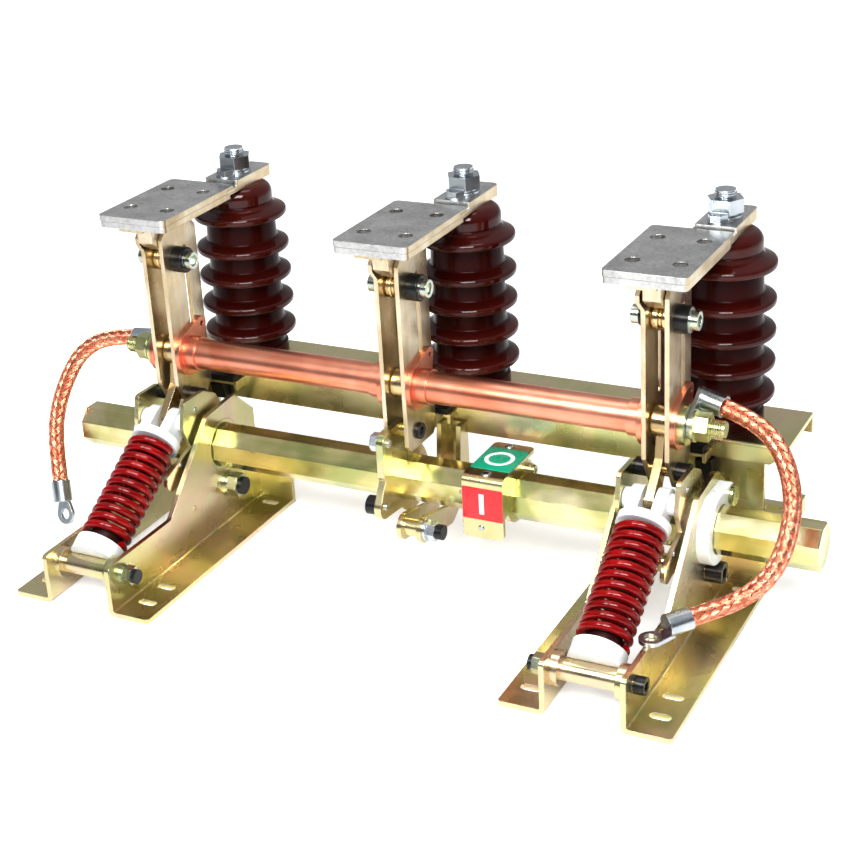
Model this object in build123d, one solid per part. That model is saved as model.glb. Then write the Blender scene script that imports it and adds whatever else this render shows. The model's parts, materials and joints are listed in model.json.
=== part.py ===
from build123d import *
import math
import os

# Three-phase indoor earthing switch, drawn in the closed position.
# Millimetres, +Z up, origin at the centre of the outer foot slots.
# X runs along the operating shaft, -Y is the side the springs face.

os.makedirs("parts", exist_ok=True)

# phase spacing and the offset of the insulators from the blade lines
PITCH = 210.0
PHASES = {"left": -PITCH, "middle": 0.0, "right": PITCH}
ENDS = {"left": -PITCH, "right": PITCH}
INS_DX = 16.0
INS_Y = 137.0

# side plates
PLATE_T = 4.0
PLATE_OUT = 31.5
FOOT_W = 32.0
FRONT_Y = -115.0
NOSE_Z = 42.0
KINK_Y = -29.0
CREST_Y = 36.0
CREST_Z = 106.0
APEX_Y = 78.0
APEX_RISE = 3.0
REAR_Y = 104.0
REAR_SHOULDER_Z = 86.0
FOOT_REAR_Y = REAR_Y + PLATE_T + 2
LOW_FLANGE_Z = 56.0
BEND_OUT = 5.5
BEND_IN = 1.5
PANEL_HALF = 59.0
SHELF_REACH = 80.0
SHELF_DEPTH = 42.0
SLOT_X = 257.5
SLOT_Y = 92.0
SLOT_STEP = 26.0
SLOT_L = 16.0
SLOT_D = 7.0

# bolts through the bracket plates and the shaft bearings' seats
BOLT_R = 4.2
BEARING_R = 21.8

# operating shaft
SHAFT_Y = 55.0
SHAFT_Z = 73.0
SHAFT_AF = 34.0
SHAFT_X0 = -312.0
SHAFT_X1 = 328.0
RUN = 0.3

# beam under the insulators
BEAM_X0 = -258.0
BEAM_X1 = 288.0
BEAM_Y0 = 97.0
BEAM_Y1 = 169.0
BEAM_Z = 125.0
BEAM_DROP = 27.0
BEAM_T = 4.0
NOTCH_X = PITCH + 8
NOTCH_DROP = 15.0
LIP_SLANT = 13.0

# insulators
INS_H = 150.0
SHED_COUNT = 5
SHED_R = 38.8
SHED_RIM = 6.4
SHED_DROOP = 4.2
SHED_FIRST = 22.5
TOP_SHED = INS_H - 25.8
TOP_SHED_LIFT = 4.1
SHED_PITCH = (TOP_SHED - SHED_FIRST - TOP_SHED_LIFT) / (SHED_COUNT - 1)
CORE_R = 28.6
CAP_R = 28.2
CAP_SIDE = 16.0
BASE_R = 31.0

# terminal bars
CAP_TOP = BEAM_Z + INS_H
PAD_HALF = 31.0
PAD_Y0 = 8.0
PAD_Y1 = 111.0
PAD_T = 10.0
PAD_TOP = CAP_TOP + 6.5
PAD_LOW = PAD_TOP - PAD_T
LAYER_T = PAD_T / 2
STRAP_HALF = 15.5
STRAP_Y0 = PAD_Y1 + 2.5
STRAP_Y1 = INS_Y + 31
STRAP_T = 9.0
HOLE_DX = 34.5
HOLE_DY = 51.5
HOLE_D = 11.0
HOLE_Y = (PAD_Y0 + PAD_Y1) / 2

# blades
BLADE_Y0 = 31.0
BLADE_Y1 = 78.0
BLADE_TOP = PAD_LOW - 9.5
BLADE_LOW = 105.0
BLADE_IN = 7.0
BLADE_T = 3.5
OUT = BLADE_IN + BLADE_T
TUBE_Y = 49.0
TUBE_Z = 156.0
TUBE_R = 12.5
CLAMP_Z = BLADE_TOP - 26
JOGGLE = 4.3
JOGGLE_LOW = CLAMP_Z + 9.5
JOGGLE_HIGH = JOGGLE_LOW + 6
KNIFE_LOW = CLAMP_Z + 12
BLADE_SLOT_Y = 60.0
BLADE_SLOT_W = 6.0
BLADE_SLOT_Z = TUBE_Z + 18
HEEL_Z = 117.5

# cranks
CRANK_IN = 20.6
CRANK_T = 3.6
KPIN_Y = 24.0
KPIN_Z = 103.5
TOE_Y = -10.0
TOE_Z = 67.0

# springs
BASE_Y = -97.0
BASE_Z = 29.0
COIL_R = 16.8
WIRE_R = 3.2
COIL_TURNS = 11
HEAD_GAP = 25.0
SEAT_GAP = 20.0

# stop bar across each bracket
STOP_Y = 57.0
STOP_Z = 36.0


def save(name, shape):
    export_step(shape, "parts/" + name + ".step")


def yz_face(sketch, x):
    """A sketch drawn in (y, z), stood up in the plane at x."""
    return Plane(origin=(x, 0, 0), x_dir=(0, 1, 0), z_dir=(1, 0, 0)) * sketch


def yz_plate(sketch, x0, x1):
    return extrude(yz_face(sketch, x0), amount=x1 - x0)


def rod_x(y, z, radius, x0, x1):
    return yz_plate(Pos(y, z) * Circle(radius), x0, x1)


def hex_x(y, z, flats, x0, x1):
    return yz_plate(Pos(y, z) * RegularPolygon(flats / 2, 6, major_radius=False), x0, x1)


def block(x0, x1, y0, y1, z0, z1):
    return Pos((x0 + x1) / 2, (y0 + y1) / 2, (z0 + z1) / 2) * Box(x1 - x0, y1 - y0, z1 - z0)


def hull_of(circles):
    """Outline stretched tightly round a few circles given as (y, z, r)."""
    return make_hull([e for y, z, r in circles for e in (Pos(y, z) * Circle(r)).edges()])


def xz_plate(sketch, y0, y1):
    """A sketch drawn in (x, z), stood up and given its depth from y0 to y1."""
    return extrude(Plane(origin=(0, y1, 0), x_dir=(1, 0, 0), z_dir=(0, -1, 0)) * sketch, amount=y1 - y0)


def upright(shape, x, y):
    """The vertical edges of a shape that stand at one place in plan."""
    edges = shape.edges().filter_by(Axis.Z)
    return [e for e in edges if abs(e.center().X - x) < 0.1 and abs(e.center().Y - y) < 0.1]


def slot_z(x, y, length, width, z0, z1):
    return Pos(x, y, z0) * extrude(SlotOverall(length, width), amount=z1 - z0)


# side plates of the two brackets
def side_outline(outer):
    apex = (APEX_Y, CREST_Z + APEX_RISE)
    pts = [
        (FRONT_Y, 0),
        (FRONT_Y, NOSE_Z),
        (KINK_Y, NOSE_Z),
        (CREST_Y, CREST_Z),
        apex,
        (REAR_Y, REAR_SHOULDER_Z),
        (REAR_Y, 0),
    ]
    face = make_face(Polyline(*pts, close=True))
    soft = {(FRONT_Y, NOSE_Z): 4, (KINK_Y, NOSE_Z): 6, (CREST_Y, CREST_Z): 6, apex: 13 if outer else 2.5}
    for place, radius in soft.items():
        face = fillet(face.vertices().sort_by_distance(place)[0], radius)
    if outer:
        face -= Pos(APEX_Y - 5, CREST_Z - 8) * Circle(1.8)
    return face


def side_plate(centre, sign):
    """One bent plate: upright web, outward foot and rear flange."""
    outer = centre + sign * PLATE_OUT
    inner = outer - sign * PLATE_T
    foot_end = outer + sign * FOOT_W
    is_outer = centre * sign > 0
    peak = CREST_Z + APEX_RISE
    profile = make_face(Polyline(
        (inner, 0), (foot_end, 0), (foot_end, PLATE_T), (outer, PLATE_T), (outer, peak), (inner, peak),
        close=True,
    ))
    profile = fillet(profile.vertices().sort_by_distance((inner, 0))[0], BEND_OUT)
    profile = fillet(profile.vertices().sort_by_distance((outer, PLATE_T))[0], BEND_IN)
    body = xz_plate(profile, FRONT_Y, REAR_Y)
    w0, w1 = sorted((inner - sign, outer))
    blank = Pos((FRONT_Y + REAR_Y) / 2, peak / 2) * Rectangle(REAR_Y - FRONT_Y + 2, peak + 2)
    body -= yz_plate(blank - side_outline(is_outer), w0, w1)
    f0, f1 = sorted((inner, foot_end))
    tail = block(f0, f1, REAR_Y - 0.01, FOOT_REAR_Y, 0, PLATE_T)
    low = block(f0, f1, REAR_Y - 0.01, REAR_Y + PLATE_T, 0, LOW_FLANGE_Z)
    if is_outer:
        p0, p1 = sorted((centre + sign * 3, centre + sign * PANEL_HALF))
        low += block(p0, p1, REAR_Y, REAR_Y + PLATE_T, LOW_FLANGE_Z - PLATE_T, BEAM_Z - BEAM_T)
        low += rear_shelf(centre, sign)
    body += tail + low
    side_x = centre + sign * (PLATE_OUT + 16)
    for y in (-SLOT_Y, -SLOT_Y + SLOT_STEP, SLOT_Y):
        body -= slot_z(side_x, y, SLOT_L, SLOT_D, -1, PLATE_T + 1)
    x0, x1 = sorted((inner - sign, outer + sign))
    body -= rod_x(SHAFT_Y, SHAFT_Z, BEARING_R + 0.2, x0, x1)
    for y, z in ((BASE_Y, BASE_Z), (STOP_Y, STOP_Z)):
        body -= rod_x(y, z, BOLT_R + 0.1, x0, x1)
    body = fillet(upright(body, foot_end, FRONT_Y), 3)
    return fillet(upright(body, foot_end, FOOT_REAR_Y), 3)


def rear_shelf(centre, sign):
    """Level ledge behind the outer bracket, slotted and turned up at its end."""
    end = centre + sign * SHELF_REACH
    back = REAR_Y + SHELF_DEPTH
    x0, x1 = sorted((centre + sign * PLATE_OUT, end))
    ledge = block(x0, x1, REAR_Y, back, LOW_FLANGE_Z - PLATE_T, LOW_FLANGE_Z)
    t0, t1 = sorted((end - sign * PLATE_T, end))
    ledge += block(t0, t1, REAR_Y + PLATE_T, back, LOW_FLANGE_Z - PLATE_T, LOW_FLANGE_Z + 9)
    slot_x = end - sign * 23
    return ledge - slot_z(slot_x, back - 13, SLOT_L, SLOT_D, LOW_FLANGE_Z - 2 * PLATE_T, LOW_FLANGE_Z + 1)


for name, centre in ENDS.items():
    for sign in (-1, 1):
        role = "outer" if centre * sign > 0 else "inner"
        save(name + "_bracket_" + role + "_plate", side_plate(centre, sign))


# beam: folded channel with a deep front lip
beam = block(BEAM_X0, BEAM_X1, BEAM_Y0, BEAM_Y1, BEAM_Z - BEAM_T, BEAM_Z)
shallow = BEAM_Z - NOTCH_DROP
lip = make_face(Polyline(
    (BEAM_X0, BEAM_Z),
    (BEAM_X0, BEAM_Z - BEAM_T),
    (BEAM_X0 + LIP_SLANT, shallow),
    (-NOTCH_X, shallow),
    (-NOTCH_X, BEAM_Z - BEAM_DROP),
    (NOTCH_X, BEAM_Z - BEAM_DROP),
    (NOTCH_X, shallow),
    (BEAM_X1 - LIP_SLANT, shallow),
    (BEAM_X1, BEAM_Z - BEAM_T),
    (BEAM_X1, BEAM_Z),
    close=True,
))
beam += xz_plate(lip, BEAM_Y0, BEAM_Y0 + BEAM_T)
beam += block(BEAM_X0, BEAM_X1, BEAM_Y1 - BEAM_T, BEAM_Y1, BEAM_Z - 16, BEAM_Z)
top_folds = [e for e in beam.edges().filter_by(Axis.X) if e.center().Z > BEAM_Z - 0.1]
beam = fillet(top_folds, 3)
for cx in PHASES.values():
    beam -= Pos(cx + INS_DX, INS_Y, BEAM_Z - BEAM_T) * Cylinder(6.5, 3 * BEAM_T)
save("rear_beam", beam)


# porcelain insulator, one revolved outline
def insulator():
    rim = SHED_RIM / 2
    half = [(0, 0), (BASE_R, 0), (BASE_R, 8), (CORE_R, 10)]
    levels = [SHED_FIRST + i * SHED_PITCH for i in range(SHED_COUNT - 1)] + [TOP_SHED]
    for z in levels:
        half.append((CORE_R, z - rim + 1))
        half.append((SHED_R, z - rim))
        half.append((SHED_R, z + rim))
        half.append((CORE_R + 0.8, z + rim + SHED_DROOP))
    side = INS_H - CAP_SIDE
    half += [(CORE_R - 2, side + 0.5), (CAP_R, side + 1.5), (CAP_R, INS_H), (0, INS_H)]
    face = make_face(Polyline(*half, close=True))
    rims = [v for v in face.vertices() if v.X > SHED_R - 0.1]
    face = fillet(rims, rim - 0.3)
    roots = [v for v in face.vertices() if CORE_R - 0.1 < v.X < CORE_R + 1 and 12 < v.Y < side]
    face = fillet(roots, 2.0)
    dome = face.vertices().sort_by_distance((CAP_R, INS_H))[0]
    face = fillet(dome, 9)
    return revolve(Plane.XZ * face, Axis.Z)


INSULATOR = insulator()
for name, cx in PHASES.items():
    save(name + "_insulator", Pos(cx + INS_DX, INS_Y, BEAM_Z) * INSULATOR)


# terminal: drilled pad of two layers, strap over the insulator, knife contact below
def terminal(cx):
    x0 = cx - PAD_HALF
    x1 = cx + PAD_HALF
    pad = block(x0, x1, PAD_Y0, PAD_Y1, PAD_TOP - LAYER_T, PAD_TOP)
    pad = fillet(pad.edges().filter_by(Axis.Z), 4)
    under = block(x0 + 0.4, x1 - 0.4, PAD_Y0 + 0.4, PAD_Y1 - 4, PAD_LOW, PAD_TOP - LAYER_T)
    under = fillet(under.edges().filter_by(Axis.Z), 4)
    s0 = cx + INS_DX - STRAP_HALF
    s1 = cx + INS_DX + STRAP_HALF
    half_t = STRAP_T / 2
    link = block(s0, s1, PAD_Y1 - 12, STRAP_Y1, CAP_TOP, CAP_TOP + half_t)
    strap = block(s0, s1, STRAP_Y0, STRAP_Y1, CAP_TOP + half_t, CAP_TOP + STRAP_T)
    strap = fillet(upright(strap, s0, STRAP_Y0) + upright(strap, s1, STRAP_Y0), 1.5)
    bar = link + strap
    ends = [e for e in bar.edges().filter_by(Axis.Z) if e.center().Y > STRAP_Y1 - 0.1]
    bar = fillet(ends, 5)
    knife = yz_plate(
        make_face(Polyline(
            (BLADE_Y0 - 7, PAD_LOW), (BLADE_Y0 - 7, KNIFE_LOW + 8), (BLADE_Y0 + 3, KNIFE_LOW),
            (BLADE_Y1 - 4, KNIFE_LOW), (BLADE_Y1 + 2, KNIFE_LOW + 6), (BLADE_Y1 + 2, PAD_LOW), close=True,
        )),
        cx - BLADE_IN + 0.5,
        cx + BLADE_IN - 0.5,
    )
    sole = block(cx - 14, cx + 8, PAD_Y0 + 3, BLADE_Y1 + 6, PAD_LOW - 3, PAD_LOW)
    body = pad + under + bar + knife + sole
    for sx in (-1, 1):
        for sy in (-1, 1):
            body -= Pos(cx + sx * HOLE_DX / 2, HOLE_Y + sy * HOLE_DY / 2, PAD_TOP) * Cylinder(HOLE_D / 2, 60)
    return body


for name, cx in PHASES.items():
    save(name + "_terminal", terminal(cx))


# stud, nut and washers on each insulator, with the small screw beside it
def top_fastener(cx):
    z = CAP_TOP + STRAP_T
    x = cx + INS_DX
    washer = Pos(x, INS_Y, z + 1.2) * Cylinder(12.5, 2.4)
    spring_washer = Pos(x, INS_Y, z + 3.4) * Cylinder(10.5, 2.0)
    nut = Pos(x, INS_Y, z + 4.4) * extrude(RegularPolygon(12, 6, major_radius=False), amount=10.5)
    stud = Pos(x, INS_Y, z) * extrude(Circle(7.5), amount=21)
    small = extrude(RegularPolygon(6.5, 6, major_radius=False), amount=6) + extrude(Circle(8), amount=1.5)
    small = Pos(x - 1, STRAP_Y0 + 9, z) * small
    return Compound(children=[washer + spring_washer + nut + stud, small])


save("top_studs", Compound(children=[top_fastener(cx) for cx in PHASES.values()]))


# nylon bearings
def bearing(centre, sign):
    inner_face = centre + sign * (PLATE_OUT - PLATE_T)
    outer_face = centre + sign * PLATE_OUT
    outer_plate = centre * sign > 0
    lip = 3.0
    disc = rod_x(SHAFT_Y, SHAFT_Z, 25.0, *sorted((inner_face - sign * lip, inner_face)))
    barrel = rod_x(SHAFT_Y, SHAFT_Z, BEARING_R, *sorted((inner_face, outer_face)))
    body = disc + barrel
    if outer_plate:
        ear = hull_of([
            (SHAFT_Y, SHAFT_Z, 27.0), (SHAFT_Y + 25, SHAFT_Z + 17, 9.0), (SHAFT_Y + 30, SHAFT_Z + 2, 4.0)
        ])
        ear = yz_plate(ear, *sorted((outer_face, outer_face + sign * 10)))
        body += fillet(ear.faces().sort_by(Axis.X)[-1 if sign > 0 else 0].edges(), 1)
    bore = SHAFT_AF / 2 / math.cos(math.radians(22.5)) + RUN
    body -= rod_x(SHAFT_Y, SHAFT_Z, bore, centre - 60, centre + 60)
    return body


for name, centre in ENDS.items():
    save(name + "_bearings", Compound(children=[bearing(centre, s) for s in (-1, 1)]))


# cross pins: spring base tube with collars, and the stop bar, each held by a long screw
def cross_pins(centre, sign):
    gap = PLATE_OUT - PLATE_T

    def span(a, b):
        return sorted((centre + sign * a, centre + sign * b))

    pins = []
    for y, z, tube_r, head_r, head_l, nut_af, nut_l in (
        (BASE_Y, BASE_Z, 8.0, 6.5, 8, 13.5, 7),
        (STOP_Y, STOP_Z, 7.5, 8.5, 13, 18, 9),
    ):
        pin = rod_x(y, z, tube_r, centre - gap, centre + gap)
        pin += rod_x(y, z, BOLT_R, *span(PLATE_OUT, -PLATE_OUT - 5 - nut_l))
        head = rod_x(y, z, head_r, *span(PLATE_OUT, PLATE_OUT + head_l))
        head -= hex_x(y, z, head_r, *span(PLATE_OUT + head_l / 2, PLATE_OUT + head_l + 1))
        pin += head
        pin += rod_x(y, z, nut_af * 0.62, *span(-PLATE_OUT, -PLATE_OUT - 1.6))
        pin += rod_x(y, z, nut_af * 0.55, *span(-PLATE_OUT - 1.6, -PLATE_OUT - 3.4))
        pin += hex_x(y, z, nut_af, *span(-PLATE_OUT - 3.4, -PLATE_OUT - 3.4 - nut_l))
        pin += rod_x(y, z, nut_af * 0.42, *span(-PLATE_OUT - 3.4 - nut_l, -PLATE_OUT - 7 - nut_l))
        pins.append(pin)
    for a, b in ((-gap, -gap + 6.5), (gap - 6.5, gap)):
        pins[0] += rod_x(BASE_Y, BASE_Z, 12.7, centre + a, centre + b)
    return Compound(children=pins)


for name, centre in ENDS.items():
    save(name + "_cross_pins", cross_pins(centre, 1 if centre > 0 else -1))


# support under the middle of the shaft: two hooked plates joined at the back
HOOK_Y = 17.0
HOOK_Z = 50.0
HOOK_R = 10.5
HOOK_T = 4.0
HOOK_X0 = 8.0
HOOK_X1 = HOOK_X0 + 17.0
HOOK_REAR = BEAM_Y0
HOOK_TOP = BEAM_Z - 16.5
HOOK_JOIN_Z = 60.0


def hook_outline():
    under = (SHAFT_Y + 6, SHAFT_Z - 31)
    outer = hull_of([(HOOK_Y, HOOK_Z, HOOK_R), (*under, 8)])
    outer += hull_of([(*under, 8), (HOOK_REAR - 9, HOOK_JOIN_Z, 9)])
    back = make_face(Polyline(
        (HOOK_REAR - 18, HOOK_JOIN_Z),
        (HOOK_REAR, HOOK_JOIN_Z),
        (HOOK_REAR, HOOK_TOP),
        (HOOK_REAR - 13, HOOK_TOP),
        close=True,
    ))
    return outer + back


hook_end = HOOK_X1 + HOOK_T
hook = yz_plate(hook_outline(), HOOK_X0, HOOK_X0 + HOOK_T) + yz_plate(hook_outline(), HOOK_X1, hook_end)
hook += block(HOOK_X0, hook_end, HOOK_REAR - HOOK_T, HOOK_REAR, HOOK_JOIN_Z - 2, HOOK_TOP)
hook += rod_x(HOOK_Y, HOOK_Z, 7.0, HOOK_X0 + HOOK_T, HOOK_X1)
hook += rod_x(HOOK_Y, HOOK_Z, 9.0, hook_end, hook_end + 2.5)
hook += hex_x(HOOK_Y, HOOK_Z, 14, hook_end + 2.5, hook_end + 9.5)
hook += rod_x(HOOK_Y, HOOK_Z, 6.0, hook_end + 9.5, hook_end + 15)
save("centre_support", hook)


# closing stops: padded tabs on the beam lip behind each blade pair, and the buffers beside them
STOP_GAP = 5.5


def closing_stop(cx):
    reach = 10 if cx < 0 else 0
    x0 = cx - 9 + reach
    x1 = x0 + 30
    top = BEAM_Z - 3
    front = BLADE_Y1 + STOP_GAP
    tab = block(x0 + 2, x1 - 1, front + 1.5, BEAM_Y0, top - 8, top - 5)
    tab += block(x1 - 4, x1 - 1, front + 1.5, BEAM_Y0, top - 13, top - 5)
    return tab + block(x0, x1 - 3, front, BEAM_Y0, top - 5, top)


def buffer(cx):
    """Rubber wedge behind the cranks of an end phase."""
    x0 = cx + 4 if cx < 0 else cx + 10
    z0, y1 = (BEAM_Z - 26, BEAM_Y0) if cx < 0 else (BEAM_Z - 39, REAR_Y)
    z1 = z0 + 14 if cx < 0 else BEAM_Z - NOTCH_DROP - 2
    side = make_face(Polyline((y1, z0), (y1, z1), (y1 - 13, z1), (y1 - 9, z0), close=True))
    return yz_plate(side, x0, x0 + 12)


stops = [closing_stop(cx) for cx in PHASES.values()]
stops += [buffer(cx) for cx in ENDS.values()]
save("closing_stops", Compound(children=stops))


# operating shaft
OCTAGON = Rot(0, 0, 22.5) * RegularPolygon(SHAFT_AF / 2, 8, major_radius=False)
SHAFT_HOLE = Pos(SHAFT_Y, SHAFT_Z) * OCTAGON
shaft = yz_plate(SHAFT_HOLE, SHAFT_X0, SHAFT_X1)
for end_x in (SHAFT_X0, SHAFT_X1):
    shaft = chamfer([e for e in shaft.edges() if abs(e.center().X - end_x) < 0.01], 0.8)
save("operating_shaft", shaft)


# cranks
def crank_outline():
    top = [(20, 121, 4), (TUBE_Y - 5, HEEL_Z + 3, 4), (TUBE_Y + 8, HEEL_Z - 6, 6)]
    body = hull_of(top + [(KPIN_Y, KPIN_Z, 12), (SHAFT_Y, SHAFT_Z, 27)])
    body += hull_of([(TOE_Y, TOE_Z, 8), (SHAFT_Y - 6, SHAFT_Z + 8, 12)])
    return body - SHAFT_HOLE


def crank_pair(centre):
    plates = []
    for sign in (-1, 1):
        x0, x1 = sorted((centre + sign * CRANK_IN, centre + sign * (CRANK_IN + CRANK_T)))
        plates.append(yz_plate(crank_outline(), x0, x1))
    return Compound(children=plates)


for name, centre in ENDS.items():
    save(name + "_cranks", crank_pair(centre))

MID_X0 = -6.4
MID_X1 = -0.4
LOBE_Y = 18.0
LOBE_Z = 118.0
LOWER_Y = 9.0
LOWER_Z = 68.0
mid = hull_of([(LOBE_Y, LOBE_Z, 9), (LOBE_Y, 95, 9), (TUBE_Y - 3, HEEL_Z + 5, 5), (SHAFT_Y, SHAFT_Z, 27)])
mid += hull_of([(LOWER_Y, LOWER_Z, 9.5), (LOBE_Y + 6, 92, 9), (SHAFT_Y - 8, SHAFT_Z, 18)])
mid -= SHAFT_HOLE
middle = yz_plate(mid, MID_X0, MID_X1)
middle += hex_x(LOBE_Y, LOBE_Z, 13, MID_X0 - 7, MID_X0)
middle += rod_x(LOBE_Y, LOBE_Z, 3, MID_X1, MID_X1 + 1.5)
middle += rod_x(LOWER_Y, LOWER_Z, 7.5, MID_X0 - 9, MID_X0)
middle += rod_x(LOWER_Y, LOWER_Z, 3, MID_X1, MID_X1 + 1.5)
save("middle_crank", middle)


# blades: the left one of each pair is set outwards at its tip
def blade_outline(end_phase):
    chamfer_front = 16 if end_phase else 5
    rise = 27 if end_phase else 5
    pts = [
        (BLADE_Y0, BLADE_TOP - 5),
        (BLADE_Y0 + 5, BLADE_TOP),
        (BLADE_Y1 - 5, BLADE_TOP),
        (BLADE_Y1, BLADE_TOP - 5),
        (BLADE_Y1, BLADE_LOW + chamfer_front),
        (BLADE_Y1 - chamfer_front, BLADE_LOW),
        (BLADE_Y0 + chamfer_front, BLADE_LOW),
        (BLADE_Y0, BLADE_LOW + rise),
    ]
    face = fillet(make_face(Polyline(*pts, close=True)).vertices(), 2)
    slot_top = JOGGLE_LOW - 1
    middle_z = (BLADE_SLOT_Z + slot_top) / 2
    slot = Rot(0, 0, 90) * SlotOverall(slot_top - BLADE_SLOT_Z, BLADE_SLOT_W)
    return face - Pos(BLADE_SLOT_Y, middle_z) * slot


def blade_pair(cx):
    outline = blade_outline(cx != 0)
    straight = yz_plate(outline, cx + BLADE_IN, cx + OUT)
    left = cx - OUT
    right = cx - BLADE_IN
    bent = make_face(Polyline(
        (left, BLADE_LOW - 1),
        (left, JOGGLE_LOW),
        (left - JOGGLE, JOGGLE_HIGH),
        (left - JOGGLE, BLADE_TOP + 1),
        (right - JOGGLE, BLADE_TOP + 1),
        (right - JOGGLE, JOGGLE_HIGH),
        (right, JOGGLE_LOW),
        (right, BLADE_LOW - 1),
        close=True,
    ))
    joggled = xz_plate(bent, BLADE_Y0 - 1, BLADE_Y1 + 1) & yz_plate(outline, left - JOGGLE - 1, right + 1)
    return Compound(children=[straight, joggled])


for name, cx in PHASES.items():
    save(name + "_blades", blade_pair(cx))


# bolts through the blades
def clamp_bolt(cx):
    parts = []
    for sign, bush_r, bush_l in ((-1, 8.5, 6), (1, 10.4, 10)):
        def span(a, b):
            return sorted((cx + sign * a, cx + sign * b))
        bush = rod_x(TUBE_Y, CLAMP_Z, bush_r, *span(OUT, OUT + bush_l))
        bush = fillet(bush.faces().sort_by(Axis.X)[-1 if sign > 0 else 0].edges(), 1.2)
        bush += rod_x(TUBE_Y, CLAMP_Z, 7.0, *span(OUT + bush_l, OUT + bush_l + 6))
        bush -= hex_x(TUBE_Y, CLAMP_Z, 8, *span(OUT + bush_l + 2.5, OUT + bush_l + 7))
        parts.append(bush)
    core = rod_x(TUBE_Y, CLAMP_Z, 8.6, cx - BLADE_IN, cx + BLADE_IN)
    for sign in (-1, 1):
        roller = rod_x(TUBE_Y, CLAMP_Z, 10, *sorted((cx + sign * 0.7, cx + sign * (BLADE_IN - 0.05))))
        core += fillet(roller.edges().filter_by(GeomType.CIRCLE), 2)
    return parts + [core]


save("clamp_bolts", Compound(children=[p for cx in PHASES.values() for p in clamp_bolt(cx)]))


def heel_bolt(cx):
    parts = []
    if cx:
        for sign in (-1, 1):
            parts.append(rod_x(TUBE_Y, HEEL_Z, 7.0, *sorted((cx + sign * OUT, cx + sign * CRANK_IN))))
        parts.append(rod_x(TUBE_Y, HEEL_Z, 5.0, cx - BLADE_IN, cx + BLADE_IN))
        return parts
    for sign in (-1, 1):
        head = rod_x(TUBE_Y, HEEL_Z, 6.5, *sorted((sign * OUT, sign * (OUT + 2.5))))
        parts.append(head - hex_x(TUBE_Y, HEEL_Z, 6.5, *sorted((sign * (OUT + 1), sign * (OUT + 3)))))
    parts.append(rod_x(TUBE_Y, HEEL_Z, 7.5, MID_X1, BLADE_IN))
    boss = rod_x(TUBE_Y, TUBE_Z, 12, -BLADE_IN, BLADE_IN)
    parts.append(fillet(boss.edges().filter_by(GeomType.CIRCLE), 2))
    return parts


save("blade_spacers", Compound(children=[p for cx in PHASES.values() for p in heel_bolt(cx)]))


# copper tubes with flanged ends
def flange_outline():
    ear = (TUBE_Y + 18, TUBE_Z + 19)
    return hull_of([(TUBE_Y, TUBE_Z, 19), (*ear, 6)]) - Pos(*ear) * Circle(2)


FLANGE_T = 4.0
LUG_SEAT = 9.0
STUD_R = 6.0
PALM_T = 3.0


def copper_tube(cx0, cx1):
    x0 = cx0 + OUT
    x1 = cx1 - OUT
    body = rod_x(TUBE_Y, TUBE_Z, TUBE_R, x0, x1)
    body += rod_x(TUBE_Y, TUBE_Z, TUBE_R + 1.5, x0, x0 + 14)
    body += rod_x(TUBE_Y, TUBE_Z, TUBE_R + 1.5, x1 - 14, x1)
    body += yz_plate(flange_outline(), x0, x0 + FLANGE_T)
    body += yz_plate(flange_outline(), x1 - FLANGE_T, x1)
    body -= rod_x(TUBE_Y, TUBE_Z, TUBE_R - 2.0, x0 + 6, x1 - 6)
    return body


save("left_copper_tube", copper_tube(-PITCH, 0))
save("right_copper_tube", copper_tube(0, PITCH))


def end_flange(sign):
    face = sign * (PITCH + OUT)
    washer = LUG_SEAT + PALM_T + 2 * RUN
    nut = washer + 2

    def span(a, b):
        return sorted((face + sign * a, face + sign * b))

    body = yz_plate(flange_outline(), *span(0, FLANGE_T))
    body += rod_x(TUBE_Y, TUBE_Z, 15.5, *span(FLANGE_T, LUG_SEAT))
    body += rod_x(TUBE_Y, TUBE_Z, STUD_R, *span(0, 36))
    body += rod_x(TUBE_Y, TUBE_Z, 12.0, *span(washer, nut))
    body += hex_x(TUBE_Y, TUBE_Z, 19, *span(nut, nut + 10))
    return body


save("end_flanges", Compound(children=[end_flange(-1), end_flange(1)]))


# links from the tube line down to the spring head pins
LINK_T = 6.4


def link(cx):
    boss = rod_x(TUBE_Y, TUBE_Z, 12, cx - BLADE_IN, cx + BLADE_IN)
    boss = fillet(boss.edges().filter_by(GeomType.CIRCLE), 2)
    knee = (TUBE_Y - 5.5, TUBE_Z - 28, 5.5)
    arm = hull_of([(TUBE_Y, TUBE_Z, 6), knee]) + hull_of([knee, (KPIN_Y, KPIN_Z, 8)])
    pin = rod_x(KPIN_Y, KPIN_Z, 4.1, cx - CRANK_IN, cx + CRANK_IN)
    return boss + yz_plate(arm, cx - LINK_T / 2, cx + LINK_T / 2) + pin


for name, centre in ENDS.items():
    save(name + "_link", link(centre))


# springs
AXIS_Y = KPIN_Y - BASE_Y
AXIS_Z = KPIN_Z - BASE_Z
REACH = math.hypot(AXIS_Y, AXIS_Z)
TILT = math.degrees(math.atan2(AXIS_Z, AXIS_Y))


def along(centre, shape):
    """Place a shape drawn up the Z axis from the base pin along the spring."""
    frame = Plane(origin=(centre, BASE_Y, BASE_Z), x_dir=(1, 0, 0), z_dir=(0, AXIS_Y / REACH, AXIS_Z / REACH))
    return frame * shape


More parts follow.
